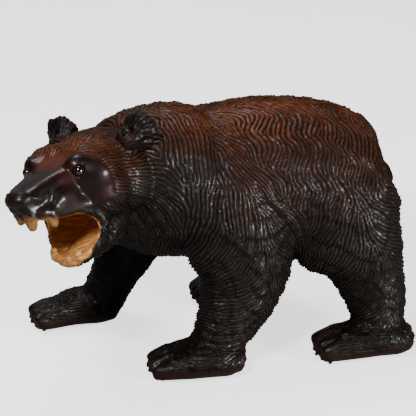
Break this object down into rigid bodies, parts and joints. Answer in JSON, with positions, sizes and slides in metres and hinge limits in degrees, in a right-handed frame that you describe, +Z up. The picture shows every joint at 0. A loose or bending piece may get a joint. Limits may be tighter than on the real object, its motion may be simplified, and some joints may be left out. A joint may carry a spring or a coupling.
{
  "type": "carved bear figure",
  "caption": "Carved wooden bear in mid-stride, head lowered and turned to its left with the mouth open, standing on flat soles.",
  "frame": {"origin": "middle of the bounding box at floor level, under the belly", "axes": "+X from head to tail, +Y towards the bear's right side, +Z up"},
  "size_m": [0.4178, 0.2168, 0.2668],
  "materials": {
    "bear": "dark stained and waxed, satin, with bare wood in the mouth",
    "left_eye": "polished black glass",
    "right_eye": "polished black glass"
  },
  "bodies": {
    "root": {"bear": "bear", "left_eye": "left_eye", "right_eye": "right_eye"}
  },
  "joints": []
}
